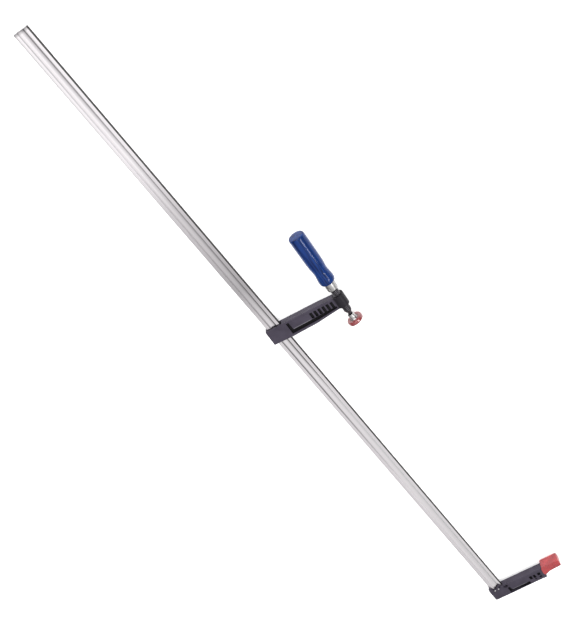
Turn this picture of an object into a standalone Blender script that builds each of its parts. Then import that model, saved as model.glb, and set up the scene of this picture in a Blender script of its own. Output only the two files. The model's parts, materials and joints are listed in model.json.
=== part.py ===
"""F clamp with a 1500 mm opening and a 120 mm throat, lying on its side.

The rail runs along X towards the fixed jaw, the arms point along +Y and +Z is up.
The origin is the middle of the fixed jaw's clamping face, on its cap.
"""
import math

import bmesh
import bpy

MM = 0.001
GAP = 0.3 * MM              # clearance between pieces that touch
WELD = 0.01 * MM            # distance at which a mesh's own points are merged

# Rail
RAIL_LENGTH = 1600 * MM
RAIL_WIDTH = 27 * MM
RAIL_THICKNESS = 8 * MM
GROOVE_WIDTH = 13 * MM      # shallow groove with a hollow floor on both broad faces
GROOVE_FLOOR = 10.8 * MM
GROOVE_EDGE_DEPTH = 1.1 * MM
GROOVE_DEPTH = 1.5 * MM
RAIL_CHAMFER = 0.6 * MM

# Both castings
THROAT = 120 * MM           # rail edge to spindle axis
CAST_THICKNESS = 16 * MM
JAW_BACK = 18.3 * MM        # rail centre to the back of the fixed jaw
ARM_BACK = 19.5 * MM        # rail centre to the back of the sliding arm
POCKET_DEPTH = 4 * MM
SLOT_WIDTH = 4.5 * MM
AXIS_Y = RAIL_WIDTH / 2 + THROAT

# Fixed jaw, measured from its clamping face
JAW_HEIGHT = 32 * MM
JAW_TIP_Y = 150 * MM
CAP_WALL = 3 * MM
CAP_PAD = 4.7 * MM          # wall of the cap on the clamping side
CAP_START_Y = 110 * MM
JAW_PIN_RADIUS = 2 * MM
JAW_PINS = ((4 * MM, -6.5 * MM), (3.2 * MM, 2.5 * MM))
JAW_PIN_LENGTH = 16.6 * MM

# Sliding arm, measured from the middle of its rail slot
ARM_X = 709.5 * MM          # from the rail's free end
ARM_TILT = math.radians(2.85)
SLOT_BACK_Y = -15.3 * MM
SLOT_FRONT_Y = 14.2 * MM
SLOT_HEIGHT = RAIL_THICKNESS + 0.8 * MM
GRIP_PIN_RADIUS = 1.5 * MM
GRIP_PIN_X = 11 * MM
GRIP_PIN_LENGTH = 15 * MM
BOSS_TOP_X = -14.3 * MM
BOSS_BOTTOM_X = 12 * MM
BOSS_RADIUS = 11 * MM

# Spindle, handle and swivel pad, measured along the spindle axis from the slot's middle
SPINDLE_RADIUS = 7 * MM
TANG_RADIUS = 4.5 * MM
TANG_TOP = -100 * MM
THREAD_TOP = -26.7 * MM
THREAD_BOTTOM = 28 * MM
NECK_TOP_RADIUS = 4 * MM
NECK_RADIUS = 2.8 * MM
BALL_RADIUS = 4.6 * MM
BALL_CENTRE = 43.8 * MM
FERRULE_TOP = -44 * MM
FERRULE_BOTTOM = -27 * MM
FERRULE_RADIUS = 9.8 * MM
FERRULE_WALL = 1.0 * MM
FERRULE_CHAMFER = 1.4 * MM
HANDLE_TOP = -160 * MM
HANDLE_PIN_X = -34.3 * MM
HANDLE_PIN_RADIUS = 2 * MM
HANDLE_PIN_TURN = math.radians(28)
RIVET_HEAD_RADIUS = 3.4 * MM
RIVET_HEAD_HEIGHT = 2.1 * MM
RIVET_HOLLOW = 1.3 * MM     # radius and depth of the hollow in each rivet head
COLLAR_TOP = 36.8 * MM
PLATE_TOP = 47.0 * MM
PLATE_BOTTOM = 52.0 * MM
PLATE_RADIUS = 12.5 * MM
PAD_FACE = 54.3 * MM
PAD_RADIUS = 15.3 * MM
PAD_TILT = math.radians(7)  # lean of the pad on its ball, towards the arm's tip

FINE = 32                   # facets round the large turned pieces
COARSE = 20                 # facets round the small ones

# The clamping face of the fixed jaw's cap is the origin
ORIGIN_X = RAIL_LENGTH - JAW_HEIGHT - CAP_PAD - GAP
ORIGIN_Y = AXIS_Y

MATERIALS = {
    "rail_steel": ((0.62, 0.61, 0.62), 0.30, 1.0),
    "cast_black": ((0.075, 0.072, 0.085), 0.50, 0.2),
    "pin_steel": ((0.55, 0.55, 0.56), 0.35, 1.0),
    "cap_red": ((0.62, 0.07, 0.09), 0.35, 0.0),
    "spindle_black": ((0.035, 0.034, 0.036), 0.40, 0.7),
    "handle_blue": ((0.02, 0.06, 0.30), 0.15, 0.0),
    "zinc": ((0.70, 0.69, 0.70), 0.30, 1.0),
}


def clear_scene():
    for obj in list(bpy.data.objects):
        bpy.data.objects.remove(obj, do_unlink=True)


def make_collection(name):
    collection = bpy.data.collections.new(name)
    bpy.context.scene.collection.children.link(collection)
    return collection


def make_material(name):
    colour, roughness, metallic = MATERIALS[name]
    mat = bpy.data.materials.new(name)
    mat.use_nodes = True
    shader = mat.node_tree.nodes["Principled BSDF"]
    shader.inputs["Base Color"].default_value = (*colour, 1.0)
    shader.inputs["Roughness"].default_value = roughness
    shader.inputs["Metallic"].default_value = metallic
    return mat


def make_empty(name, location, parent=None, turn=0.0):
    empty = bpy.data.objects.new(name, None)
    empty.empty_display_size = 0.02
    empty.location = location
    empty.rotation_euler = (0.0, 0.0, turn)
    empty.parent = parent
    parts.objects.link(empty)
    return empty


def make_part(obj, material, parent):
    """File a finished object as a sub-part of the clamp."""
    if not obj.data.materials:
        obj.data.materials.append(materials[material])
    obj.parent = parent
    for old in list(obj.users_collection):
        old.objects.unlink(obj)
    parts.objects.link(obj)
    return obj


def make_tool(obj, parent):
    """File an object that only cuts, or is joined to, a sub-part."""
    obj.parent = parent
    obj.hide_render = True
    obj.display_type = "WIRE"
    for old in list(obj.users_collection):
        old.objects.unlink(obj)
    cutters.objects.link(obj)
    return obj


def box(name, low, high):
    size = [b - a for a, b in zip(low, high)]
    middle = [(a + b) / 2 for a, b in zip(low, high)]
    bpy.ops.mesh.primitive_cube_add(size=1.0, location=middle)
    obj = bpy.context.active_object
    obj.name = name
    obj.scale = size
    bpy.ops.object.transform_apply(location=False, rotation=False, scale=True)
    return obj


def cylinder(name, radius, length, location, rotation=(0.0, 0.0, 0.0), facets=COARSE):
    bpy.ops.mesh.primitive_cylinder_add(
        radius=radius, depth=length, location=location, rotation=rotation, vertices=facets)
    obj = bpy.context.active_object
    obj.name = name
    obj.data.shade_smooth()
    obj.data.set_sharp_from_angle(angle=math.radians(40))
    return obj


def plate(name, outline, thickness, location=(0.0, 0.0, 0.0), rotation=(0.0, 0.0, 0.0)):
    """A flat outline in the XY plane, given thickness about that plane, as a mesh."""
    curve = bpy.data.curves.new(name + "_outline", "CURVE")
    curve.dimensions = "2D"
    curve.fill_mode = "BOTH"
    curve.extrude = thickness / 2
    spline = curve.splines.new("POLY")
    spline.points.add(len(outline) - 1)
    for point, (x, y) in zip(spline.points, outline):
        point.co = (x, y, 0.0, 1.0)
    spline.use_cyclic_u = True
    flat = bpy.data.objects.new(name + "_outline", curve)
    flat.location = location
    flat.rotation_euler = rotation
    bpy.context.scene.collection.objects.link(flat)
    bpy.context.view_layer.update()
    evaluated = flat.evaluated_get(bpy.context.evaluated_depsgraph_get())
    mesh = bpy.data.meshes.new_from_object(evaluated)
    shape = bmesh.new()
    shape.from_mesh(mesh)
    bmesh.ops.remove_doubles(shape, verts=shape.verts, dist=WELD)
    bmesh.ops.recalc_face_normals(shape, faces=shape.faces)
    shape.to_mesh(mesh)
    shape.free()
    mesh.name = name
    obj = bpy.data.objects.new(name, mesh)
    obj.matrix_world = flat.matrix_world
    bpy.context.scene.collection.objects.link(obj)
    bpy.data.objects.remove(flat, do_unlink=True)
    return obj


def turned(name, profile, facets=FINE, closed=False):
    """A profile of (radius, place along the axis) turned about the local Z axis.

    The profile runs from the axis or the bore outwards at the top, which is its
    largest place along the axis, then down the outer side.
    """
    mesh = bpy.data.meshes.new(name)
    edges = [(i, i + 1) for i in range(len(profile) - 1)]
    if closed:
        edges.append((len(profile) - 1, 0))
    mesh.from_pydata([(r, 0.0, z) for r, z in profile], edges, [])
    obj = bpy.data.objects.new(name, mesh)
    bpy.context.scene.collection.objects.link(obj)
    screw = obj.modifiers.new("turn", "SCREW")
    screw.steps = facets
    screw.render_steps = facets
    screw.use_merge_vertices = True
    screw.merge_threshold = WELD
    screw.use_smooth_shade = True
    return obj


def boolean(obj, tool, operation="DIFFERENCE"):
    mod = obj.modifiers.new(tool.name, "BOOLEAN")
    mod.operation = operation
    mod.solver = "EXACT"
    mod.object = tool
    return mod


def arc(centre, radius, start, end, count):
    """Points on an arc, angles in degrees."""
    points = []
    for i in range(count + 1):
        angle = math.radians(start + (end - start) * i / count)
        points.append((centre[0] + radius * math.cos(angle), centre[1] + radius * math.sin(angle)))
    return points


def along_x(obj, zero=0.0):
    """Point a turned object's own Z axis along its parent's X axis, with the profile's zero there."""
    obj.rotation_euler = (0.0, math.radians(90), 0.0)
    obj.location = (-zero, 0.0, 0.0)
    return obj


def build_rail():
    half_w = RAIL_WIDTH / 2
    half_t = RAIL_THICKNESS / 2
    c = RAIL_CHAMFER
    corner = [(half_w, half_t - c), (half_w - c, half_t)]
    groove = [(GROOVE_WIDTH / 2, half_t)]
    hollow = GROOVE_DEPTH - GROOVE_EDGE_DEPTH
    for step in (1.0, 0.75, 0.5, 0.25):
        groove.append((step * GROOVE_FLOOR / 2, half_t - GROOVE_DEPTH + hollow * step ** 2))
    quarter = corner + groove
    top = quarter + [(0.0, half_t - GROOVE_DEPTH)] + [(-y, z) for y, z in reversed(quarter)]
    section = top + [(y, -z) for y, z in reversed(top)]
    rail = plate("rail", section, RAIL_LENGTH, (RAIL_LENGTH / 2, 0.0, 0.0),
                 (math.radians(90), 0.0, math.radians(90)))
    make_part(rail, "rail_steel", clamp_frame)
    for number, (x, y) in enumerate(JAW_PINS, 1):
        hole = cylinder(f"rail_pin_hole_{number}", JAW_PIN_RADIUS + GAP, 2 * RAIL_THICKNESS,
                        (jaw_face_x + x, y, 0.0))
        boolean(rail, make_tool(hole, clamp_frame))


def slot_row(across, first, step, count):
    """The low and high corners of a row of slots along Y."""
    low, high = across
    return [((low, first + step * n), (high, first + step * n + SLOT_WIDTH)) for n in range(count)]


def cut_pockets(casting, name, frame, band, slots):
    """Cut the angled groove round the raised panel and the row of slots, on both faces."""
    for side in (-1, 1):
        middle = side * (CAST_THICKNESS / 2)
        word = "front" if side > 0 else "rear"
        groove = plate(f"{name}_band_{word}", band, 2 * POCKET_DEPTH, (0.0, 0.0, middle))
        boolean(casting, make_tool(groove, frame))
        for number, (low, high) in enumerate(slots, 1):
            slot = box(f"{name}_slot_{word}_{number}", (*low, middle - POCKET_DEPTH),
                       (*high, middle + POCKET_DEPTH))
            boolean(casting, make_tool(slot, frame))


def build_fixed_jaw():
    outline = [
        (-4 * MM, -JAW_BACK), (-4 * MM, 10.5 * MM), (0.0, 15 * MM), (0.0, JAW_TIP_Y),
        (12.5 * MM, JAW_TIP_Y), (17 * MM, 124 * MM), (22.5 * MM, 109 * MM),
        (28.7 * MM, 106 * MM), (28.7 * MM, 104 * MM), (30.3 * MM, 67 * MM),
        (JAW_HEIGHT, 20 * MM), (JAW_HEIGHT, 2 * MM - JAW_BACK),
        (JAW_HEIGHT - 2 * MM, -JAW_BACK),
    ]
    jaw = plate("fixed_jaw", outline, CAST_THICKNESS)
    make_part(jaw, "cast_black", jaw_frame)
    slot = box("fixed_jaw_rail_slot",
               (-JAW_HEIGHT, -RAIL_WIDTH / 2 - GAP, -RAIL_THICKNESS / 2 - GAP),
               (2 * JAW_HEIGHT, RAIL_WIDTH / 2 + GAP, RAIL_THICKNESS / 2 + GAP))
    boolean(jaw, make_tool(slot, jaw_frame))
    band = [
        (4.5 * MM, 20.5 * MM), (4.5 * MM, 25.5 * MM), (22 * MM, 26 * MM), (20.5 * MM, 67 * MM),
        (19 * MM, 100 * MM), (23.5 * MM, 100 * MM), (26 * MM, 67 * MM), (28 * MM, 20.5 * MM),
    ]
    slots = slot_row((8 * MM, 17 * MM), 72 * MM, 8 * MM, 4)
    cut_pockets(jaw, "fixed_jaw", jaw_frame, band, slots)
    for number, (x, y) in enumerate(JAW_PINS, 1):
        hole = cylinder(f"jaw_pin_hole_{number}", JAW_PIN_RADIUS + GAP, 2 * CAST_THICKNESS,
                        (x, y, 0.0))
        boolean(jaw, make_tool(hole, jaw_frame))
        pin = cylinder(f"jaw_pin_{number}", JAW_PIN_RADIUS, JAW_PIN_LENGTH, (x, y, 0.0))
        make_part(pin, "pin_steel", jaw_frame)


def build_fixed_jaw_cap():
    end_y = JAW_TIP_Y + GAP + CAP_WALL
    shell = [
        (-GAP - CAP_PAD, CAP_START_Y + 1.5 * MM), (-GAP - CAP_PAD, end_y),
        (14 * MM, end_y - 2 * MM), (15 * MM, 124 * MM), (20 * MM, CAP_START_Y),
    ]
    hollow = [
        (-GAP, CAP_START_Y - 10 * MM), (-GAP, JAW_TIP_Y + GAP), (30 * MM, JAW_TIP_Y + GAP),
        (30 * MM, CAP_START_Y - 10 * MM),
    ]
    cap = plate("fixed_jaw_cap", shell, CAST_THICKNESS + 2 * (GAP + CAP_WALL))
    make_part(cap, "cap_red", jaw_frame)
    inside = plate("fixed_jaw_cap_hollow", hollow, CAST_THICKNESS + 2 * GAP)
    boolean(cap, make_tool(inside, jaw_frame))


def build_sliding_arm():
    outline = [
        (-16.5 * MM, -ARM_BACK), (-16.3 * MM, 14 * MM), (-15.5 * MM, 92 * MM),
        (BOSS_TOP_X, 124 * MM), (BOSS_TOP_X, AXIS_Y), (11.4 * MM, AXIS_Y),
        (11.4 * MM, 126 * MM), (17.2 * MM, 73 * MM), (18.2 * MM, 20 * MM),
        (16.5 * MM, 2 * MM - ARM_BACK), (14.5 * MM, -ARM_BACK),
    ]
    arm = plate("sliding_arm", outline, CAST_THICKNESS)
    make_part(arm, "cast_black", arm_frame)
    turn = (0.0, math.radians(90), 0.0)
    boss = cylinder("spindle_boss", BOSS_RADIUS, BOSS_BOTTOM_X - BOSS_TOP_X,
                    ((BOSS_TOP_X + BOSS_BOTTOM_X) / 2, AXIS_Y, 0.0), turn, FINE)
    boolean(arm, make_tool(boss, arm_frame), "UNION")
    bore = cylinder("spindle_bore", SPINDLE_RADIUS + GAP, 4 * BOSS_BOTTOM_X, (0.0, AXIS_Y, 0.0),
                    turn, FINE)
    boolean(arm, make_tool(bore, arm_frame))
    slot = box("arm_rail_slot", (-RAIL_WIDTH, SLOT_BACK_Y, -SLOT_HEIGHT / 2),
               (RAIL_WIDTH, SLOT_FRONT_Y, SLOT_HEIGHT / 2))
    boolean(arm, make_tool(slot, arm_frame))
    pin_hole = cylinder("grip_pin_hole", GRIP_PIN_RADIUS + GAP, GRIP_PIN_LENGTH + 2 * GAP,
                        (GRIP_PIN_X, SLOT_BACK_Y, 0.0))
    boolean(arm, make_tool(pin_hole, arm_frame))
    band = [
        (-12.5 * MM, 22.5 * MM), (-12.5 * MM, 27.5 * MM), (5.5 * MM, 28.5 * MM),
        (5.5 * MM, 69 * MM), (4.5 * MM, 117 * MM), (8.5 * MM, 117 * MM),
        (12 * MM, 72 * MM), (13 * MM, 22.5 * MM),
    ]
    slots = slot_row((-9 * MM, 2.5 * MM), 71 * MM, 9 * MM, 6)
    cut_pockets(arm, "arm", arm_frame, band, slots)


def build_grip_pin():
    pin = cylinder("grip_pin", GRIP_PIN_RADIUS, GRIP_PIN_LENGTH, (0.0, 0.0, 0.0))
    make_part(pin, "pin_steel", pin_frame)


def build_spindle():
    ball = arc((0.0, BALL_CENTRE), BALL_RADIUS, 90, -90 + 37.5, 7)
    profile = ball + [
        (NECK_RADIUS, THREAD_BOTTOM + 7.2 * MM), (NECK_TOP_RADIUS, THREAD_BOTTOM + 5.6 * MM),
        (NECK_TOP_RADIUS, THREAD_BOTTOM + 1.5 * MM), (SPINDLE_RADIUS - 1.5 * MM, THREAD_BOTTOM + 1.5 * MM),
        (SPINDLE_RADIUS, THREAD_BOTTOM), (SPINDLE_RADIUS, THREAD_TOP), (TANG_RADIUS, THREAD_TOP),
        (TANG_RADIUS, TANG_TOP), (0.0, TANG_TOP),
    ]
    spindle = along_x(turned("spindle", profile))
    make_part(spindle, "spindle_black", spin_frame)
    boolean(spindle, cross_hole("spindle_cross_hole"))


def cross_hole(name):
    """The hole of the handle's cross pin, one cutter for each piece that it goes through."""
    angle = (HANDLE_PIN_TURN, 0.0, 0.0)
    hole = cylinder(name, HANDLE_PIN_RADIUS + GAP, 4 * FERRULE_RADIUS, (HANDLE_PIN_X, 0.0, 0.0), angle)
    return make_tool(hole, spin_frame)


def build_handle():
    tenon = FERRULE_RADIUS - FERRULE_WALL - GAP
    bore = TANG_RADIUS + GAP
    tenon_end = FERRULE_BOTTOM - FERRULE_WALL - FERRULE_CHAMFER - GAP
    shoulder = FERRULE_TOP - GAP
    profile = [
        (0.0, TANG_TOP - 2 * MM), (bore, TANG_TOP - 2 * MM), (bore, tenon_end), (tenon, tenon_end),
        (tenon, shoulder), (11 * MM, shoulder), (13.8 * MM, -47.5 * MM), (14.9 * MM, -54 * MM),
        (14.4 * MM, -64 * MM), (13.4 * MM, -75 * MM), (14.2 * MM, -88 * MM),
        (14.9 * MM, -118 * MM), (15.3 * MM, -155 * MM), (14.4 * MM, HANDLE_TOP + 1.6 * MM),
        (12.2 * MM, HANDLE_TOP), (0.0, HANDLE_TOP),
    ]
    handle = along_x(turned("handle", profile))
    make_part(handle, "handle_blue", spin_frame)
    boolean(handle, cross_hole("handle_cross_hole"))


def build_ferrule():
    """The sleeve at the foot of the handle, and the hollow rivet that holds it on the spindle."""
    hole = TANG_RADIUS + GAP
    inside = FERRULE_RADIUS - FERRULE_WALL
    sleeve = [
        (hole, FERRULE_BOTTOM), (FERRULE_RADIUS - FERRULE_CHAMFER, FERRULE_BOTTOM),
        (FERRULE_RADIUS, FERRULE_BOTTOM - FERRULE_CHAMFER), (FERRULE_RADIUS, FERRULE_TOP),
        (inside, FERRULE_TOP), (inside, FERRULE_BOTTOM - FERRULE_WALL - FERRULE_CHAMFER),
        (hole, FERRULE_BOTTOM - FERRULE_WALL - FERRULE_CHAMFER),
    ]
    ferrule = along_x(turned("ferrule", sleeve, closed=True))
    make_part(ferrule, "zinc", spin_frame)
    boolean(ferrule, cross_hole("ferrule_cross_hole"))
    seat = FERRULE_RADIUS + GAP
    top = seat + RIVET_HEAD_HEIGHT
    half = [
        (0.0, top - RIVET_HOLLOW), (RIVET_HOLLOW, top - RIVET_HOLLOW), (RIVET_HOLLOW, top),
        (RIVET_HEAD_RADIUS - 0.8 * MM, top), (RIVET_HEAD_RADIUS, top - 0.8 * MM),
        (RIVET_HEAD_RADIUS, seat), (HANDLE_PIN_RADIUS, seat),
    ]
    rivet = turned("handle_pin", half + [(r, -z) for r, z in reversed(half)], COARSE)
    rivet.location = (HANDLE_PIN_X, 0.0, 0.0)
    rivet.rotation_euler = (HANDLE_PIN_TURN, 0.0, 0.0)
    make_part(rivet, "zinc", spin_frame)


def build_swivel_pad():
    """The swivel pad leans on the spindle's ball: ring, seat, collar, plate and cap."""
    wire = 0.6 * MM
    ring_radius = 3.95 * MM
    ring_place = BALL_CENTRE - 3.85 * MM
    ring_profile = arc((ring_radius, ring_place), wire, 180, -180, 8)[:-1]
    ring = along_x(turned("retaining_ring", ring_profile, COARSE, closed=True))
    make_part(ring, "pin_steel", spin_frame)

    seat_thickness = 1.2 * MM
    seat = cylinder("ball_seat", 4 * MM, seat_thickness, (BALL_RADIUS + 1.0 * MM, 0.0, 0.0),
                    (0.0, math.radians(90), 0.0))
    make_part(seat, "pin_steel", ball_frame)

    collar_bottom = PLATE_TOP - GAP
    cavity = 5.7 * MM
    mouth = 4.5 * MM
    collar_profile = [
        (cavity, collar_bottom), (7.2 * MM, collar_bottom), (6.9 * MM, 40.5 * MM),
        (6.5 * MM, 38 * MM), (5.6 * MM, COLLAR_TOP), (mouth, COLLAR_TOP),
        (mouth, COLLAR_TOP + 1.1 * MM), (cavity, COLLAR_TOP + 1.1 * MM),
    ]
    collar = along_x(turned("pad_collar", collar_profile, closed=True), BALL_CENTRE)
    make_part(collar, "zinc", ball_frame)

    pocket_radius = 5.3 * MM
    pocket_floor = PLATE_BOTTOM - 1.1 * MM
    plate_profile = [
        (0.0, PLATE_BOTTOM), (PLATE_RADIUS, PLATE_BOTTOM), (PLATE_RADIUS, PLATE_TOP),
        (pocket_radius, PLATE_TOP), (pocket_radius, pocket_floor), (0.0, pocket_floor),
    ]
    make_part(along_x(turned("pressure_plate", plate_profile), BALL_CENTRE), "zinc", ball_frame)

    rim = 1.2 * MM
    lip = 11.3 * MM
    lip_top = PLATE_TOP - GAP - 1.0 * MM
    inner = PLATE_RADIUS + GAP
    cap_profile = [
        (0.0, PAD_FACE), (PAD_RADIUS - rim, PAD_FACE), (PAD_RADIUS, PAD_FACE - rim),
        (PAD_RADIUS, lip_top + rim), (PAD_RADIUS - rim, lip_top), (lip, lip_top),
        (lip, PLATE_TOP - GAP), (inner, PLATE_TOP - GAP),
        (inner, PLATE_BOTTOM + GAP), (0.0, PLATE_BOTTOM + GAP),
    ]
    make_part(along_x(turned("pad_cap", cap_profile), BALL_CENTRE), "cap_red", ball_frame)


clear_scene()
parts = make_collection("f_clamp")
cutters = make_collection("cutters")
materials = {name: make_material(name) for name in MATERIALS}

jaw_face_x = RAIL_LENGTH - JAW_HEIGHT
pin_y = -RAIL_WIDTH / 2 - GAP - GRIP_PIN_RADIUS
clamp_frame = make_empty("clamp_frame", (-ORIGIN_X, -ORIGIN_Y, 0.0))
jaw_frame = make_empty("jaw_frame", (jaw_face_x, 0.0, 0.0), clamp_frame)
pin_x = ARM_X + GRIP_PIN_X * math.cos(ARM_TILT) + SLOT_BACK_Y * math.sin(ARM_TILT)
pin_frame = make_empty("pin_frame", (pin_x, pin_y, 0.0), clamp_frame, -ARM_TILT)
arm_frame = make_empty("arm_frame", (-GRIP_PIN_X, -SLOT_BACK_Y, 0.0), pin_frame)
spin_frame = make_empty("spin_frame", (0.0, AXIS_Y, 0.0), arm_frame)
ball_frame = make_empty("ball_frame", (BALL_CENTRE, 0.0, 0.0), spin_frame, PAD_TILT)

build_rail()
build_fixed_jaw()
build_fixed_jaw_cap()
build_grip_pin()
build_sliding_arm()
build_spindle()
build_handle()
build_ferrule()
build_swivel_pad()
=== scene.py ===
"""Looks of the f clamp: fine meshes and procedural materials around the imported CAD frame.

Places in the world are in metres. Each piece is drawn in a frame of its own, in millimetres,
and then put where the CAD model has it. The frames are worked out from the CAD bodies and joints.
"""

import json
import math

import bmesh
import bpy
from mathutils import Matrix, Vector


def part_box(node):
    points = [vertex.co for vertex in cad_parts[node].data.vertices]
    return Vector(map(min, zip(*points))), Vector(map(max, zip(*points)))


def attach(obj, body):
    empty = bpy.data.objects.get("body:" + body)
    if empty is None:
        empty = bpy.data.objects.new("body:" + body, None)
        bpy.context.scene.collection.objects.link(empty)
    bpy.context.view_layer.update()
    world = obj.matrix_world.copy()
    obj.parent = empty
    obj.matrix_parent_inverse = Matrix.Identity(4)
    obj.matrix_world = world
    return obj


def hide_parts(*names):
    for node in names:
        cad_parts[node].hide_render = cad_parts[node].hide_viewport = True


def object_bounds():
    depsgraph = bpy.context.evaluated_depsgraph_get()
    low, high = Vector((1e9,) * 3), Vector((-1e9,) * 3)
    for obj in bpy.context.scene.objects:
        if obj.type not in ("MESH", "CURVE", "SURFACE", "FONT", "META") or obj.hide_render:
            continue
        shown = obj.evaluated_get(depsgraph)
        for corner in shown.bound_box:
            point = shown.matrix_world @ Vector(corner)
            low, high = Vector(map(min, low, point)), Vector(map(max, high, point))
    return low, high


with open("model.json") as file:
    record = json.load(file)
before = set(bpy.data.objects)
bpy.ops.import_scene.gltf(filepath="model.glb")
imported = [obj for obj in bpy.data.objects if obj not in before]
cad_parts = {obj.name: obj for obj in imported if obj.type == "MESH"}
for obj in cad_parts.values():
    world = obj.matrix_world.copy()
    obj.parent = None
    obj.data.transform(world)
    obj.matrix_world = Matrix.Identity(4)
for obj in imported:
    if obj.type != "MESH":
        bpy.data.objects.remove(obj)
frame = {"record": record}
cad_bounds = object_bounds()

MM = 0.001
TURN = 2 * math.pi

# Sizes in millimetres, as the CAD model has them
RAIL_WIDTH = 27.0
RAIL_THICKNESS = 8.0
THROAT = 120.0
AXIS_Y = RAIL_WIDTH / 2 + THROAT
JAW_HEIGHT = 32.0
JAW_BACK = -18.3
ARM_BACK = -19.5
CAST_HALF = 8.0
GRIP_PIN = (11.0, -15.3)
THREAD_PITCH = 3.0
BALL_CENTRE = 43.8
RIVET_HEIGHT = -34.3

# Sizes in millimetres that only the looks have
TOOTH_PITCH = 2.5
TOOTH_DEPTH = 0.5
RECESS_DEPTH = 0.8
POCKET_DEPTH = 5.6
CAST_VOXEL = 0.36
CAST_KEEP = 0.45
THREAD_CREST = 7.4
THREAD_ROOT = 5.7
THREAD_TOP = -26.7
THREAD_BOTTOM = 28.0
RIVET_HOLE = 2.25
RIVET_TURN = 28

# The studio, in metres
FLOOR_REACH = 12.0
CAMERA_PLACE = (-1.8589, 0.5009, 1.6872)
CAMERA_RIGHT = (0.56517, 0.82419, 0.0339)
CAMERA_FORWARD = (0.48006, -0.29518, -0.82601)
CAMERA_LENS = 63.14

joints = {joint["name"]: joint for joint in frame["record"]["behaviour"]["joints"]}


def place(origin, x_axis, y_axis, z_axis):
    """The matrix that puts a drawing in millimetres at an origin in metres, along three axes."""
    matrix = Matrix.Identity(4)
    for column, axis in enumerate((x_axis, y_axis, z_axis)):
        for row in range(3):
            matrix[row][column] = axis[row] * MM
    for row in range(3):
        matrix[row][3] = origin[row]
    return matrix


UP = Vector((0.0, 0.0, 1.0))
rail_low, rail_high = (Vector(corner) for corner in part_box("rail"))
rail_middle_y = (rail_low.y + rail_high.y) / 2
rail_length = (rail_high.x - rail_low.x) / MM

# Rail frame: from the free end; jaw frame: from the fixed jaw's own clamping face
rail_frame = place((rail_low.x, rail_middle_y, 0.0), (1, 0, 0), (0, 1, 0), (0, 0, 1))
jaw_frame = place((rail_high.x - JAW_HEIGHT * MM, rail_middle_y, 0.0), (1, 0, 0), (0, 1, 0), (0, 0, 1))

# Arm frame: X along the spindle, from the middle of the rail slot
arm_x = Vector(joints["spindle_feed"]["axis"]).normalized()
arm_y = UP.cross(arm_x)
pin_place = Vector(joints["arm_tilt"]["pos_m"])
arm_origin = pin_place - (arm_x * GRIP_PIN[0] + arm_y * GRIP_PIN[1]) * MM
arm_frame = place(arm_origin, arm_x, arm_y, UP)
pin_frame = place(pin_place, arm_x, arm_y, UP)

# Turned pieces: their own Z axis runs along the spindle towards the pad, or square to the pad's face
spin_frame = place(arm_origin + arm_y * AXIS_Y * MM, -UP, arm_y, arm_x)
pad_y = Vector(joints["pad_tilt_b"]["axis"]).normalized()
pad_x = pad_y.cross(UP)
pad_frame = place(Vector(joints["pad_tilt_b"]["pos_m"]) - pad_x * BALL_CENTRE * MM, -UP, pad_y, pad_x)

# The rivet of the handle, in the frame of the turned pieces: its own Z axis runs across the spindle
rivet_place = (Matrix.Translation((0.0, 0.0, RIVET_HEIGHT))
               @ Matrix.Rotation(math.radians(RIVET_TURN), 4, "Z")
               @ Matrix.Rotation(math.radians(-90), 4, "Y"))


# ---------------------------------------------------------------- mesh tools

def from_bmesh(name, shape, matrix=None, smooth_angle=40):
    """An object of the drawn shape, with edges past the angle (in degrees) kept sharp."""
    if matrix:
        bmesh.ops.transform(shape, matrix=matrix, verts=shape.verts)
    bmesh.ops.recalc_face_normals(shape, faces=shape.faces)
    mesh = bpy.data.meshes.new(name)
    shape.to_mesh(mesh)
    shape.free()
    mesh.shade_smooth()
    mesh.set_sharp_from_angle(angle=math.radians(smooth_angle))
    obj = bpy.data.objects.new(name, mesh)
    bpy.context.scene.collection.objects.link(obj)
    return obj


def arc(centre, radius, start, end, count):
    """Points on an arc, angles in degrees."""
    points = []
    for i in range(count + 1):
        angle = math.radians(start + (end - start) * i / count)
        points.append((centre[0] + radius * math.cos(angle), centre[1] + radius * math.sin(angle)))
    return points


def rounded(points, radius, count=4, closed=True):
    """The outline with each corner turned into a short curve. radius may be one for each point."""
    result = []
    size = len(points)
    for i, point in enumerate(points):
        reach = radius[i] if isinstance(radius, (list, tuple)) else radius
        if reach <= 0 or (not closed and i in (0, size - 1)):
            result.append(point)
            continue
        here = Vector(point)
        before = Vector(points[i - 1]) - here
        after = Vector(points[(i + 1) % size]) - here
        reach = min(reach, before.length * 0.45, after.length * 0.45)
        start = here + before.normalized() * reach
        end = here + after.normalized() * reach
        for step in range(count + 1):
            t = step / count
            spot = start * (1 - t) ** 2 + here * 2 * t * (1 - t) + end * t * t
            result.append((spot.x, spot.y))
    return result


def spline(points, per_span=6):
    """A smooth curve through the points (Catmull-Rom)."""
    result = []
    last = len(points) - 1
    for i in range(last):
        p0 = Vector(points[max(i - 1, 0)])
        p1 = Vector(points[i])
        p2 = Vector(points[i + 1])
        p3 = Vector(points[min(i + 2, last)])
        for step in range(per_span):
            t = step / per_span
            spot = 0.5 * (2 * p1 + (p2 - p0) * t + (2 * p0 - 5 * p1 + 4 * p2 - p3) * t * t
                          + (3 * p1 - p0 - 3 * p2 + p3) * t ** 3)
            result.append((spot.x, spot.y))
    result.append(tuple(points[last]))
    return result


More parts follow.
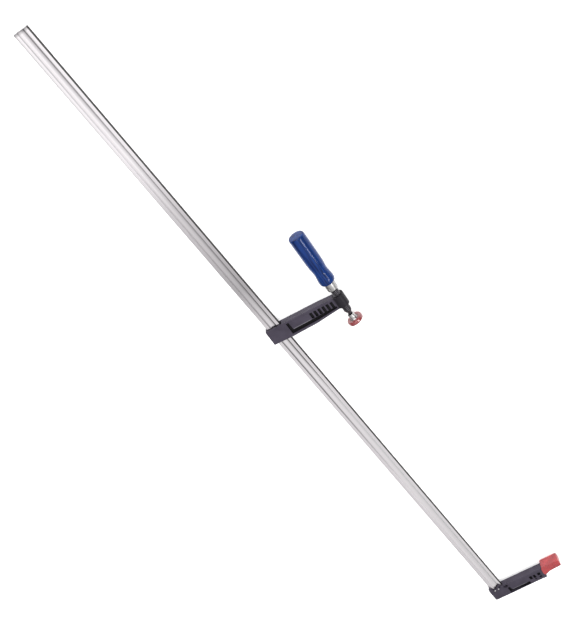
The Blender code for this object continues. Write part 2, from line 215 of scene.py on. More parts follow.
def lathe(name, profile, matrix=None, segments=64, closed=False):
    """Turns (radius, height) points about the Z axis. A profile that isn't closed ends on the axis."""
    shape = bmesh.new()
    rings = []
    for radius, height in profile:
        if radius < 1e-6:
            rings.append([shape.verts.new((0.0, 0.0, height))])
            continue
        ring = []
        for k in range(segments):
            angle = TURN * k / segments
            ring.append(shape.verts.new((radius * math.cos(angle), radius * math.sin(angle), height)))
        rings.append(ring)
    pairs = list(zip(rings, rings[1:]))
    if closed:
        pairs.append((rings[-1], rings[0]))
    for first, second in pairs:
        for k in range(segments):
            n = (k + 1) % segments
            if len(first) == 1:
                shape.faces.new((first[0], second[k], second[n]))
            elif len(second) == 1:
                shape.faces.new((first[k], second[0], first[n]))
            else:
                shape.faces.new((first[k], second[k], second[n], first[n]))
    return from_bmesh(name, shape, matrix)


def prism(name, outline, low, high):
    """An outline in the XY plane, with thickness."""
    shape = bmesh.new()
    bottom = [shape.verts.new((x, y, low)) for x, y in outline]
    top = [shape.verts.new((x, y, high)) for x, y in outline]
    shape.faces.new(bottom)
    shape.faces.new(top)
    for k in range(len(outline)):
        n = (k + 1) % len(outline)
        shape.faces.new((bottom[k], bottom[n], top[n], top[k]))
    return from_bmesh(name, shape)


def rectangle(low, high):
    """The outline between two opposite corners."""
    return [(low[0], low[1]), (high[0], low[1]), (high[0], high[1]), (low[0], high[1])]


def box(name, low, high):
    """A block between two opposite corners."""
    return prism(name, rectangle(low, high), low[2], high[2])


def slab(name, outline, side, inner, outer):
    """A prism above (side 1) or below (side -1) the XY plane, between two distances from it."""
    return prism(name, outline, *sorted((side * inner, side * outer)))


def drill(name, radius, reach, matrix, segments):
    """A round cutter about the Z axis, as long as twice its reach."""
    return lathe(name, [(0.0, -reach), (radius, -reach), (radius, reach), (0.0, reach)], matrix, segments)


def baked(obj):
    """Applies an object's modifiers."""
    bpy.context.view_layer.update()
    evaluated = obj.evaluated_get(bpy.context.evaluated_depsgraph_get())
    mesh = bpy.data.meshes.new_from_object(evaluated)
    obj.modifiers.clear()
    obj.data = mesh
    return obj


def combine(obj, tools, operation="DIFFERENCE"):
    """Cuts the tools out of an object, or joins them to it, and removes the tools."""
    for tool in tools:
        mod = obj.modifiers.new("cut", "BOOLEAN")
        mod.operation = operation
        mod.solver = "EXACT"
        mod.object = tool
    baked(obj)
    for tool in tools:
        bpy.data.objects.remove(tool, do_unlink=True)
    return obj


def soften(obj, name, matrix, voxel, rounds, keep=1.0):
    """Turns a sharp solid, in millimetres, into one with rounded edges, and puts it in its place."""
    mod = obj.modifiers.new("remesh", "REMESH")
    mod.mode = "VOXEL"
    mod.voxel_size = voxel
    mod = obj.modifiers.new("smooth", "SMOOTH")
    mod.factor = 0.5
    mod.iterations = rounds
    if keep < 1.0:
        mod = obj.modifiers.new("decimate", "DECIMATE")
        mod.ratio = keep
    baked(obj)
    obj.data.transform(matrix)
    obj.name = name
    obj.data.name = name
    obj.data.shade_smooth()
    return obj


# ---------------------------------------------------------------- materials

class Nodes:
    """A short way to write a material's node tree."""

    def __init__(self, name):
        self.material = bpy.data.materials.new(name)
        self.material.use_nodes = True
        self.tree = self.material.node_tree
        self.shader = self.tree.nodes["Principled BSDF"]
        self.space = self.tree.nodes.new("ShaderNodeTexCoord").outputs["Object"]

    def add(self, kind, **settings):
        node = self.tree.nodes.new(kind)
        for key, value in settings.items():
            setattr(node, key, value)
        return node

    def link(self, start, end):
        self.tree.links.new(start, end)

    def mapped(self, scale, rotation=(0.0, 0.0, 0.0), space=None):
        """The object's space, or another one, turned or stretched."""
        node = self.add("ShaderNodeMapping")
        node.inputs["Scale"].default_value = scale
        node.inputs["Rotation"].default_value = rotation
        self.link(self.space if space is None else space, node.inputs["Vector"])
        return node.outputs["Vector"]

    def noise(self, vector, scale, detail=3.0, roughness=0.5):
        node = self.add("ShaderNodeTexNoise")
        node.inputs["Scale"].default_value = scale
        node.inputs["Detail"].default_value = detail
        node.inputs["Roughness"].default_value = roughness
        self.link(vector, node.inputs["Vector"])
        return node.outputs["Fac"]

    def ramp(self, factor, stops):
        node = self.add("ShaderNodeValToRGB")
        elements = node.color_ramp.elements
        while len(elements) < len(stops):
            elements.new(0.5)
        for element, (position, colour) in zip(elements, stops):
            element.position = position
            element.color = colour if len(colour) == 4 else (*colour, 1.0)
        self.link(factor, node.inputs["Fac"])
        return node.outputs["Color"]

    def range(self, factor, low, high, from_low=0.3, from_high=0.7):
        node = self.add("ShaderNodeMapRange")
        node.inputs["From Min"].default_value = from_low
        node.inputs["From Max"].default_value = from_high
        node.inputs["To Min"].default_value = low
        node.inputs["To Max"].default_value = high
        self.link(factor, node.inputs["Value"])
        return node.outputs["Result"]

    def mix(self, factor, first, second, blend="MIX"):
        node = self.add("ShaderNodeMix", data_type="RGBA", blend_type=blend)
        for socket, value in ((node.inputs[0], factor), (node.inputs[6], first), (node.inputs[7], second)):
            if isinstance(value, bpy.types.NodeSocket):
                self.link(value, socket)
            else:
                socket.default_value = value
        return node.outputs[2]

    def levels(self, factor, stops):
        """A ramp between greys."""
        return self.ramp(factor, [(position, grey(value)) for position, value in stops])

    def size_of(self, vector, part):
        """How large one part of a vector is, without its sign."""
        split = self.add("ShaderNodeSeparateXYZ")
        self.link(vector, split.inputs[0])
        size = self.add("ShaderNodeMath", operation="ABSOLUTE")
        self.link(split.outputs[part], size.inputs[0])
        return size.outputs[0]

    def times(self, first, second):
        node = self.add("ShaderNodeMath", operation="MULTIPLY")
        self.link(first, node.inputs[0])
        self.link(second, node.inputs[1])
        return node.outputs[0]

    def band(self, value, start, full, fade, end):
        """1 from full to fade, falling to 0 at start and at end."""
        return self.times(self.range(value, 0.0, 1.0, start, full), self.range(value, 1.0, 0.0, fade, end))

    def product(self, first, second):
        """Two colours, multiplied."""
        return self.mix(1.0, first, second, "MULTIPLY")

    def along(self, place_in, axis):
        """The place along one axis of a frame, in its own millimetres."""
        inverse = place_in.inverted()
        dot = self.add("ShaderNodeVectorMath", operation="DOT_PRODUCT")
        self.link(self.space, dot.inputs[0])
        dot.inputs[1].default_value = inverse[axis][:3]
        shift = self.add("ShaderNodeMath", operation="ADD")
        self.link(dot.outputs["Value"], shift.inputs[0])
        shift.inputs[1].default_value = inverse[axis][3]
        return shift.outputs[0]

    def bump(self, height, strength, distance, before=None):
        node = self.add("ShaderNodeBump")
        node.inputs["Strength"].default_value = strength
        node.inputs["Distance"].default_value = distance
        self.link(height, node.inputs["Height"])
        if before:
            self.link(before, node.inputs["Normal"])
        return node.outputs["Normal"]

    def finish(self, colour, roughness, normal=None, **values):
        """Sets the shader up. Other sockets are given by name, with _ for a space."""
        for socket, value in (("Base Color", colour), ("Roughness", roughness), ("Normal", normal)):
            if value is None:
                continue
            if isinstance(value, bpy.types.NodeSocket):
                self.link(value, self.shader.inputs[socket])
            else:
                self.shader.inputs[socket].default_value = value
        for key, value in values.items():
            self.shader.inputs[key.replace("_", " ")].default_value = value
        return self.material


def grey(value, tint=(1.0, 1.0, 1.0)):
    return (value * tint[0], value * tint[1], value * tint[2], 1.0)


def rail_material():
    """Bright drawn steel, with painted shade on the toothed edges.

    way runs from 0 at the free end to 1 at the fixed jaw, and across from 0 at the back edge to 1 at
    the front.
    """
    n = Nodes("drawn_steel")
    lines = n.noise(n.mapped((2.0, 1700.0, 700.0)), 1.0, 4.0, 0.65)
    # lengthwise bands of pinkish tone in the steel, partly a painted reflection of the streaks along the
    # bar
    bands = n.noise(n.mapped((0.8, 330.0, 200.0)), 1.0, 2.0)
    tint = n.ramp(bands, [(0.38, grey(0.80, (1.0, 0.95, 0.985))), (0.60, grey(0.90, (1.0, 0.965, 0.985)))])
    bright = n.product(tint, n.levels(lines, [(0.3, 0.90), (0.7, 1.0)]))
    split = n.add("ShaderNodeSeparateXYZ")
    n.link(n.space, split.inputs[0])
    way = n.range(split.outputs["X"], 0.0, 1.0, rail_low.x, rail_high.x)
    across = n.range(split.outputs["Y"], 0.0, 1.0, rail_low.y, rail_high.y)

    # painted shade on the cut end, a clean half, and a painted dark reflection of the arm along the stretch
    # where it usually stands
    bright = n.product(bright, n.levels(way, [
        (0.0, 0.35), (0.0014, 0.45), (0.002, 1.0), (0.17, 1.0), (0.25, 0.73), (0.37, 0.54),
        (0.43, 0.84), (0.52, 0.95), (1.0, 1.0)]))

    # painted shade and painted dark reflection in the corners of the groove, each fading along the rail
    far = n.levels(across, [(0.232, 0.0), (0.247, 0.9), (0.285, 0.9), (0.37, 0.0)])
    far_fade = n.levels(way, [(0.0, 0.5), (0.13, 0.3), (0.25, 0.35), (0.38, 0.5), (0.46, 0.95),
                              (0.55, 0.9), (0.63, 0.6), (0.75, 0.0)])
    near = n.levels(across, [(0.58, 0.0), (0.66, 0.35), (0.72, 0.95), (0.745, 0.9), (0.765, 0.0)])
    near_fade = n.levels(way, [(0.0, 0.45), (0.06, 0.25), (0.13, 0.1), (0.25, 0.0), (0.38, 0.5),
                               (0.43, 1.0), (0.49, 1.0), (0.55, 0.1), (0.60, 0.0)])
    for corner, fade in ((far, far_fade), (near, near_fade)):
        bright = n.mix(n.product(corner, fade), bright, grey(0.06))
    # painted highlight: the near wall of the groove is coloured white towards the fixed jaw
    painted_wall_light = n.band(across, 0.66, 0.72, 0.75, 0.78)
    bright = n.mix(n.times(painted_wall_light, n.range(way, 0.0, 1.0, 0.52, 0.58)), bright, grey(1.0))

    # painted shade on the toothed edges: the narrow faces are coloured near black
    back = n.times(n.range(across, 1.0, 0.0, 0.022, 0.034),
                   n.range(n.size_of(n.space, "Z"), 1.0, 0.0, 0.0026, 0.0030))
    edge = n.mix(n.range(across, 0.0, 1.0, 0.963, 0.98), back, grey(1.0))
    colour = n.mix(edge, bright, grey(0.03, (1.0, 0.97, 0.95)))
    roughness = n.mix(far, n.mix(edge, n.range(lines, 0.20, 0.28), grey(0.5)), grey(0.55))
    return n.finish(colour, roughness, n.bump(lines, 0.08, 0.00002), Metallic=1.0)


def cast_material(name, place_in, line, panel, boss=False):
    """Satin powder coat: a pebbled skin over a cast surface, with painted shade where it lies deep, and
    darker on the boss.

    In the casting's own millimetres, line is where a painted highlight runs along the panel's edge (across,
    start and end) and panel is the area that holds the pockets (across from and to, along from and to).
    """
    n = Nodes(name)
    fine = n.noise(n.space, 1500.0, 2.0)
    sand = n.noise(n.space, 420.0, 4.0, 0.6)
    blotch = n.noise(n.space, 45.0, 3.0)
    colour = n.ramp(blotch, [(0.3, (0.043, 0.036, 0.054)), (0.7, (0.061, 0.052, 0.076))])
    height = n.size_of(n.space, "Z")
    facing = n.size_of(n.add("ShaderNodeNewGeometry").outputs["Normal"], "Z")
    across, out = (n.along(place_in, axis) for axis in (0, 1))

    # painted shade in the pockets: their floors, and then their walls, coloured near black
    floor = n.times(n.range(height, 1.0, 0.0, 0.0040, 0.0066), n.range(facing, 0.0, 1.0, 0.45, 0.8))
    left, right, low, high = panel
    wall = n.times(n.band(across, left, left + 0.5, right - 0.5, right),
                   n.band(out, low, low + 0.5, high - 0.5, high))
    wall = n.times(wall, n.range(height, 1.0, 0.0, 0.0052, 0.0064))
    for mask in (floor, wall):
        colour = n.mix(mask, colour, (0.004, 0.0035, 0.005, 1.0))

    # painted highlight: a lighter line along the panel's lower edge
    middle, start, end = line
    painted_edge_light = n.times(n.band(across, middle - 1.0, middle - 0.4, middle + 0.4, middle + 1.0),
                   n.band(out, start, start + 3.0, end - 6.0, end))
    painted_edge_light = n.times(painted_edge_light, n.range(height, 0.0, 0.75, 0.0062, 0.0068))
    colour = n.mix(painted_edge_light, colour, (0.25, 0.24, 0.27, 1.0))
    if boss:
        colour = n.mix(n.range(out, 0.0, 0.85, 121.5, 124.5), colour, (0.007, 0.006, 0.008, 1.0))
    normal = n.bump(sand, 0.3, 0.00022, n.bump(fine, 0.15, 0.00006))
    return n.finish(colour, n.range(sand, 0.38, 0.54), normal, IOR=1.29)


def red_material(name, coat, depth):
    """Red plastic. coat is how glossy it is, and depth makes it darker below 1."""
    n = Nodes(name)
    fine = n.noise(n.space, 1100.0, 3.0)
    blotch = n.noise(n.space, 55.0, 2.0)
    dark = grey(depth, (0.29, 0.042, 0.050))
    bright = grey(depth, (0.47, 0.052, 0.058))
    colour = n.ramp(blotch, [(0.3, dark), (0.7, bright)])
    return n.finish(colour, n.range(fine, 0.22, 0.34), n.bump(fine, 0.2, 0.00006),
                    Subsurface_Weight=0.12, Subsurface_Scale=0.002, Coat_Weight=coat, Coat_Roughness=0.1)


def spindle_material():
    """Black oxide, with a painted highlight on the crests of the thread."""
    n = Nodes("black_oxide_thread")
    fine = n.noise(n.space, 900.0, 3.0)
    # painted highlight: the crests of the thread are coloured lighter
    painted_edge_light = n.add("ShaderNodeNewGeometry").outputs["Pointiness"]
    crest = n.ramp(painted_edge_light, [(0.5, grey(0.045, (1.0, 0.93, 1.1))), (0.56, grey(0.22, (1.0, 0.95, 1.06)))])
    colour = n.mix(n.range(fine, 0.0, 0.3), crest, grey(0.03))
    return n.finish(colour, n.range(fine, 0.30, 0.48), n.bump(fine, 0.2, 0.00005), Metallic=0.85)


def handle_material():
    """Blue lacquer that shows the grain of the wood, which runs along the handle."""
    n = Nodes("blue_lacquered_wood")
    upright = n.mapped((1.0, 1.0, 1.0), rotation=tuple(spin_frame.inverted().to_euler()))
    grain = n.noise(n.mapped((420.0, 420.0, 14.0), space=upright), 1.0, 5.0, 0.62)
    figure = n.noise(n.mapped((110.0, 110.0, 6.0), space=upright), 1.0, 3.0)
    base = n.ramp(figure, [(0.34, (0.003, 0.016, 0.095)), (0.52, (0.008, 0.037, 0.180)),
                           (0.66, (0.012, 0.052, 0.225))])
    colour = n.product(base, n.levels(grain, [(0.38, 0.42), (0.52, 1.0)]))
    return n.finish(colour, n.range(grain, 0.50, 0.38), n.bump(grain, 0.3, 0.00015),
                    Coat_Weight=0.6, Coat_Roughness=0.09, Coat_IOR=1.30, Specular_IOR_Level=0.06)


def zinc_material(name, level):
    """Zinc plate, clouded. level is how bright it is."""
    n = Nodes(name)
    fine = n.noise(n.space, 700.0, 4.0, 0.6)
    cloud = n.noise(n.space, 90.0, 3.0)
    colour = n.ramp(cloud, [(0.3, grey(0.8 * level, (1.0, 0.98, 0.97))),
                            (0.7, grey(level, (1.0, 0.985, 0.985)))])
    return n.finish(colour, n.range(fine, 0.34, 0.48), n.bump(fine, 0.15, 0.00005), Metallic=1.0)


def pin_material():
    """Ground steel."""
    n = Nodes("bright_steel")
    fine = n.noise(n.space, 1200.0, 4.0, 0.6)
    colour = n.levels(fine, [(0.3, 0.55), (0.7, 0.72)])
    return n.finish(colour, n.range(fine, 0.22, 0.38), n.bump(fine, 0.2, 0.00004), Metallic=1.0)


def floor_material():
    """A pale floor that glows a little, so that it stays white around the object."""
    n = Nodes("pale_floor")
    soft = n.noise(n.space, 3.0, 2.0)
    colour = n.levels(soft, [(0.3, 0.88), (0.7, 0.90)])
    return n.finish(colour, 0.9, Emission_Color=(1.0, 1.0, 1.0, 1.0), Emission_Strength=0.5)


# ---------------------------------------------------------------- pieces

def finish_piece(obj, material, body, node):
    """Gives a piece its material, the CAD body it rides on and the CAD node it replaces."""
    obj.data.materials.clear()
    obj.data.materials.append(material)
    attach(obj, body)
    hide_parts(node)
    return obj


def rail_section():
    """The rail's outline across, as (y, z) points, and which of them the teeth cut into."""
    half_w = RAIL_WIDTH / 2
    half_t = RAIL_THICKNESS / 2
    side = [(half_w, half_t - 1.7), (half_w, half_t - 1.2)]
    top_edge = rounded([(half_w, 0.0), (half_w, half_t), (0.0, half_t)], [0, 0.9, 0], 3, False)[1:-1]
    wall = rounded([(half_w, half_t), (6.6, half_t), (5.9, half_t - 0.65), (4.6, half_t - 0.8)],
                   [0, 0.3, 0.4, 0], 2, False)[1:-1]
    hollow = [(4.6 * t, half_t - 1.05 + 0.25 * t * t) for t in (0.9, 0.72, 0.54, 0.36, 0.18)]
    quarter = side + top_edge + wall + hollow
    upper = quarter + [(0.0, half_t - 1.05)] + [(-y, z) for y, z in reversed(quarter)]
    section = upper + [(y, -z) for y, z in reversed(upper)]
    return section, {0, len(upper) - 1, len(upper), len(section) - 1}


def build_rail():
    """A long prism whose narrow edges are cut into fine cross teeth."""
    section, cut_points = rail_section()
    teeth = int(rail_length / TOOTH_PITCH)
    stations = []
    for k in range(teeth):
        start = k * rail_length / teeth
        stations.append((start, TOOTH_DEPTH))
        stations += [(start + TOOTH_PITCH * 0.35, 0.0), (start + TOOTH_PITCH * 0.65, 0.0)]
    stations.append((rail_length, TOOTH_DEPTH))
    shape = bmesh.new()
    loops = []
    for x, cut in stations:
        loop = []
        for i, (y, z) in enumerate(section):
            y_cut = math.copysign(abs(y) - cut, y) if i in cut_points else y
            loop.append(shape.verts.new((x, y_cut, z)))
        loops.append(loop)
    for first, second in zip(loops, loops[1:]):
        for k in range(len(section)):
            n = (k + 1) % len(section)
            shape.faces.new((first[k], second[k], second[n], first[n]))
    shape.faces.new(loops[0])
    shape.faces.new(loops[-1])
    rail = from_bmesh("steel_rail", shape, rail_frame, 28)
    return finish_piece(rail, rail_material(), "rail", "rail")


def casting(name, outline, recess, band, slots):
    """The sharp solid that both castings start from: a beam with a sunk panel and pockets on both faces."""
    solid = prism(name, rounded(outline, 1.2, 3), -CAST_HALF, CAST_HALF)
    outside = CAST_HALF + 1.0
    tools = []
    for side in (-1, 1):
        tools.append(slab("recess", rounded(recess, 1.5, 3), side, CAST_HALF - RECESS_DEPTH, outside))
        tools.append(slab("band", rounded(band, 0.8, 3), side, CAST_HALF - POCKET_DEPTH, outside))
        for low, high in slots:
            window = rounded(rectangle(low, high), 1.2, 3)
            tools.append(slab("slot", window, side, CAST_HALF - POCKET_DEPTH, outside))
    return combine(solid, tools)


def build_sliding_arm(material):
    """The arm's casting, with a boss bored for the thread and a slot for the rail."""
    outline = [
        (-16.5, ARM_BACK), (-16.5, 14.0), (-15.6, 92.0), (-14.0, 124.0), (-14.0, AXIS_Y),
        (11.4, AXIS_Y), (11.4, 126.0), (17.2, 73.0), (18.2, 20.0), (16.6, ARM_BACK),
    ]
    recess = [(-12.6, 22.5), (-11.8, 92.0), (-10.8, 121.5), (8.4, 121.5), (12.4, 73.0), (13.4, 22.5)]
    band = [
        (-12.6, 22.5), (-12.6, 27.4), (5.4, 28.6), (5.2, 69.0), (4.2, 121.5), (8.4, 121.5),
        (12.4, 73.0), (13.4, 22.5),
    ]
    slot_step = 8.7
    slots = [((-9.0, 70.2 + slot_step * k), (4.6, 75.6 + slot_step * k)) for k in range(6)]
    arm = casting("arm", outline, recess, band, slots)
    along_x = Matrix(((0, 0, 1, 0), (0, 1, 0, AXIS_Y), (-1, 0, 0, 0), (0, 0, 0, 1)))
    boss = lathe("boss", [(0.0, -14.4), (11.6, -14.4), (11.4, 12.0), (0.0, 12.0)], along_x)
    combine(arm, [boss], "UNION")
    bore = drill("bore", THREAD_CREST + 0.3, 30.0, along_x, 64)
    rail_slot = box("slot", (-40.0, -15.3, -4.4), (40.0, 14.2, 4.4))
    pin_hole = drill("hole", 1.8, 7.8, Matrix.Translation((*GRIP_PIN, 0.0)), 24)
    combine(arm, [bore, rail_slot, pin_hole])
    soften(arm, "arm_casting", arm_frame, CAST_VOXEL, 2, CAST_KEEP)
    return finish_piece(arm, material, "arm", "sliding_arm")


def build_fixed_jaw(material):
    """The jaw's casting. Its lip curls over the rail on both faces, behind two blind hollows."""
    outline = [
        (-0.6, JAW_BACK), (-0.6, 12.0), (0.0, 15.0), (0.0, 150.0), (12.5, 150.0), (18.2, 124.0),
        (23.5, 112.0), (31.6, 109.6), (31.8, 105.0), (31.0, 100.0), (31.4, 67.0), (JAW_HEIGHT, 20.0),
        (JAW_HEIGHT, -16.5), (JAW_HEIGHT - 1.8, JAW_BACK),
    ]
    recess = [(4.2, 21.5), (4.2, 102.0), (25.0, 102.0), (27.6, 67.0), (30.0, 21.5)]
    band = [(12.0, 21.0), (12.0, 26.0), (23.0, 27.4), (22.6, 71.0), (30.0, 71.0), (31.2, 21.0)]
    slots = [((9.5, 75.2), (20.0, 81.2)), ((10.0, 84.2), (20.5, 89.6)), ((9.5, 95.0), (18.0, 101.0)),
             ((21.0, 95.5), (25.5, 101.0)), ((22.0, 84.5), (25.5, 88.5))]
    jaw = casting("jaw", outline, recess, band, slots)
    lip = spline([(0.0, -17.9), (-5.6, -17.4), (-8.8, -15.6), (-8.2, -12.8), (-1.4, -10.4), (0.4, -8.0),
                  (-1.4, -3.0), (-4.0, 1.6), (-7.2, 5.0), (-6.8, 8.4), (-2.6, 10.6), (0.0, 12.5)], 5)
    lip += [(6.0, 12.5), (6.0, -17.5)]
    for side in (-1, 1):
        combine(jaw, [slab("lip", lip, side, 4.2, 7.6)], "UNION")
    hollow = rounded([(1.2, 14.8), (6.5, 15.0), (9.4, 19.0), (8.0, 24.0), (1.2, 24.6)], 0.8, 3)
    tools = [box("slot", (-20.0, -13.8, -4.3), (60.0, 13.8, 4.3))]
    tools += [slab("hollow", hollow, side, 3.6, 12.0) for side in (-1, 1)]
    for low, high in (((-1.4, -9.0), (2.2, -6.8)), ((-3.4, -3.4), (0.6, -0.6)), ((-4.2, 5.0), (0.8, 8.6))):
        tools += [slab("nick", rectangle(low, high), side, 5.0, 12.0) for side in (1, -1)]
    tools += [drill("hole", 2.2, 20.0, Matrix.Translation((x, y, 0.0)), 32) for x, y in jaw_pins()]
    combine(jaw, tools)
    soften(jaw, "jaw_casting", jaw_frame, CAST_VOXEL, 2, CAST_KEEP)
    return finish_piece(jaw, material, "rail", "fixed_jaw")


def jaw_pins():
    """Where the two pins are in the jaw's own frame."""
    places = []
    for number in (1, 2):
        low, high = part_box(f"jaw_pin_{number}")
        middle = [(a + b) / 2 for a, b in zip(low, high)]
        spot = jaw_frame.inverted() @ Vector(middle)
        places.append((spot.x, spot.y))
    return places


def build_jaw_cap(material):
    """A soft cap, hollow for the jaw's tip."""
    top, end = -5.0, 153.3
    shell = [(top, 113.0), (top, end - 0.6), (4.0, end), (13.0, end - 0.9), (15.0, 124.0), (20.4, 110.8),
             (14.0, 108.6), (2.0, 109.6)]
    cap = prism("cap", rounded(shell, 1.6, 4), -11.3, 11.3)
    combine(cap, [box("hollow", (-0.3, 80.0, -8.3), (30.0, 150.3, 8.3))])
    soften(cap, "jaw_cap", jaw_frame, 0.45, 5)
    return finish_piece(cap, material, "rail", "fixed_jaw_cap")


def thread_point(j, k, per_pitch, segments):
    """A point on the thread, j steps along a pitch and k steps round. One turn rises by one pitch."""
    angle = TURN * k / segments
    height = THREAD_TOP + THREAD_PITCH * (j / per_pitch + k / segments)
    phase = (j / per_pitch) % 1.0
    slope = min(max((abs(phase - 0.5) - 0.16) / 0.16, 0.0), 1.0)
    radius = THREAD_CREST + (THREAD_ROOT - THREAD_CREST) * slope
    if height <= THREAD_TOP or height >= THREAD_BOTTOM:
        height = min(max(height, THREAD_TOP), THREAD_BOTTOM)
        radius = THREAD_ROOT
    edge = min(height - THREAD_TOP, THREAD_BOTTOM - height)
    radius = min(radius, THREAD_ROOT + max(edge, 0.0) * 0.9)
    return radius * math.cos(angle), radius * math.sin(angle), height


def thread_body():
    """The rolled thread as a closed solid, with a true right-hand helix."""
    segments, per_pitch = 48, 10
    turns = int((THREAD_BOTTOM - THREAD_TOP) / THREAD_PITCH) + 3
    shape = bmesh.new()
    grid = [[shape.verts.new(thread_point(j, k, per_pitch, segments)) for k in range(segments)]
            for j in range(-per_pitch, turns * per_pitch)]
    # a step past the end of a row is the start of the row one pitch further on
    for j in range(len(grid) - per_pitch):
        for k in range(segments):
            row, column = (j, k + 1) if k < segments - 1 else (j + per_pitch, 0)
            if row + 1 < len(grid):
                shape.faces.new((grid[j][k], grid[row][column], grid[row + 1][column], grid[j + 1][k]))
    # the rows past both ends fall together there; what is left open is closed by a flat face
    bmesh.ops.remove_doubles(shape, verts=shape.verts, dist=0.0005)
    bmesh.ops.dissolve_degenerate(shape, edges=shape.edges, dist=0.0005)
    loose = [v for v in shape.verts if not v.link_faces]
    bmesh.ops.delete(shape, geom=loose, context="VERTS")
    bmesh.ops.holes_fill(shape, edges=[e for e in shape.edges if e.is_boundary], sides=0)
    return from_bmesh("spindle_thread", shape)


def build_spindle():
    """Tang, thread, neck and ball in one turned piece."""
    spindle = thread_body()
    ball = arc((0.0, BALL_CENTRE), 4.6, 90, -47, 14)
    neck = rounded([(3.1, 39.9), (3.1, 35.2), (4.2, 33.6), (4.4, 29.6), (5.6, 29.5), (6.4, 27.6)],
                   [0.2, 0.8, 0.8, 0.3, 0.5, 0], 4, False)
    end = lathe("neck", ball + neck + [(0.0, 27.6)], segments=48)
    tang = lathe("tang", [(0.0, -26.2), (4.5, -26.2), (4.5, -99.0), (3.8, -100.0), (0.0, -100.0)],
                 segments=48)
    combine(spindle, [end, tang], "UNION")
    combine(spindle, [cross_hole()])
    spindle.data.transform(spin_frame)
    spindle.name = "spindle_screw"
    spindle.data.shade_smooth()
    spindle.data.set_sharp_from_angle(angle=math.radians(38))
    return finish_piece(spindle, spindle_material(), "spindle", "spindle")


def cross_hole():
    """A cutter for the rivet's hole, in the frame of the turned pieces."""
    return drill("rivet_hole", RIVET_HOLE, 20.0, rivet_place, 32)


def build_handle():
    """A wooden grip around the tang: hollow for the ferrule, waisted, and flat at its butt."""
    side = spline([
        (11.2, -45.2), (12.9, -46.0), (14.6, -48.4), (15.25, -52.5), (14.95, -59.0), (13.9, -67.5),
        (13.5, -74.0), (14.1, -81.5), (14.9, -90.0), (15.3, -100.0), (15.5, -125.0), (15.6, -150.0),
        (15.5, -157.0), (14.4, -159.4), (12.4, -160.0),
    ], 6)
    profile = [(0.0, -102.0), (4.8, -102.0), (4.8, -29.7), (8.4, -29.7), (8.5, -30.0), (8.5, -45.0),
               (10.8, -45.0)] + side + [(4.0, -160.0), (0.0, -160.0)]
    handle = combine(lathe("wooden_handle", profile, segments=96), [cross_hole()])
    handle.data.transform(spin_frame)
    handle.data.set_sharp_from_angle(angle=math.radians(40))
    return finish_piece(handle, handle_material(), "spindle", "handle")


def build_ferrule(material):
    """The ferrule, and the rivet that goes through it, the handle and the tang."""
    shell = rounded([(4.8, -27.6), (9.0, -27.6), (10.4, -29.2), (10.7, -44.7), (8.8, -44.7), (8.8, -29.4),
                     (4.8, -29.4)], [0.2, 0.8, 0.9, 0.3, 0.3, 0.4, 0.2], 5)
    ferrule = combine(lathe("handle_ferrule", shell, segments=72, closed=True), [cross_hole()])
    ferrule.data.transform(spin_frame)
    ferrule.data.set_sharp_from_angle(angle=math.radians(40))
    finish_piece(ferrule, material, "spindle", "ferrule")
    half = [(0.0, 10.4), (1.3, 10.5), (1.6, 12.3), (2.1, 12.7), (2.8, 12.6), (3.3, 12.1), (3.4, 11.2),
            (3.3, 10.5), (2.2, 10.2)]
    rivet = lathe("handle_rivet", half + [(r, -z) for r, z in reversed(half)], spin_frame @ rivet_place, 40)
    finish_piece(rivet, material, "spindle", "handle_pin")


def build_pins(material):
    """The two pins of the fixed jaw and the hardened pin that grips the rail."""
    profile = [(0.0, 8.45), (1.3, 8.3), (2.0, 7.8), (2.0, -7.8), (1.3, -8.3), (0.0, -8.45)]
    for number, (x, y) in enumerate(jaw_pins(), 1):
        pin = lathe(f"rail_pin_{number}", profile, jaw_frame @ Matrix.Translation((x, y, 0.0)), 32)
        finish_piece(pin, material, "rail", f"jaw_pin_{number}")
    profile = [(0.0, 7.5), (1.1, 7.5), (1.5, 7.1), (1.5, -7.1), (1.1, -7.5), (0.0, -7.5)]
    finish_piece(lathe("hard_grip_pin", profile, pin_frame, 32), material, "grip", "grip_pin")


def build_pad(zinc, red, steel):
    """The swivelling pad, from the ring around the ball to the red cap over the plate."""
    ring = arc((3.95, BALL_CENTRE - 3.85), 0.6, 180, -165, 23)
    finish_piece(lathe("ball_ring", ring, spin_frame, 48, closed=True), steel, "swivel",
                 "retaining_ring")
    seat = [(0.0, 48.8), (3.7, 48.8), (4.0, 49.1), (4.0, 49.7), (3.7, 50.0), (0.0, 50.0)]
    finish_piece(lathe("ball_cup_seat", seat, pad_frame, 48), steel, "seat", "ball_seat")
    collar = rounded([(5.5, 48.6), (8.2, 48.6), (6.9, 46.4), (6.3, 41.0), (5.8, 37.0), (4.95, 36.8),
                      (4.95, 37.8), (5.5, 38.2)], [0.2, 0.4, 1.6, 2.0, 0.5, 0.3, 0.3, 0.3], 4)
    finish_piece(lathe("swivel_collar", collar, pad_frame, 64, closed=True), zinc, "pad",
                 "pad_collar")
    disc = rounded([(0.0, 52.8), (12.5, 52.8), (12.5, 50.0), (9.0, 48.8), (5.3, 48.8), (5.3, 51.0),
                    (0.0, 51.0)], [0, 0.5, 0.8, 1.0, 0.3, 0.3, 0], 4, False)
    finish_piece(lathe("pressure_disc", disc, pad_frame, 64), zinc, "pad", "pressure_plate")
    cap = rounded([(0.0, 55.2), (15.9, 55.2), (15.9, 47.4), (8.6, 47.6), (8.6, 48.4), (9.2, 48.5),
                   (12.8, 49.6), (12.8, 53.0), (0.0, 53.0)],
                  [0, 1.6, 3.0, 0.6, 0.2, 0.3, 0.3, 0.4, 0], 6, False)
    finish_piece(lathe("round_pad_cap", cap, pad_frame, 72), red, "pad", "pad_cap")


# ---------------------------------------------------------------- studio

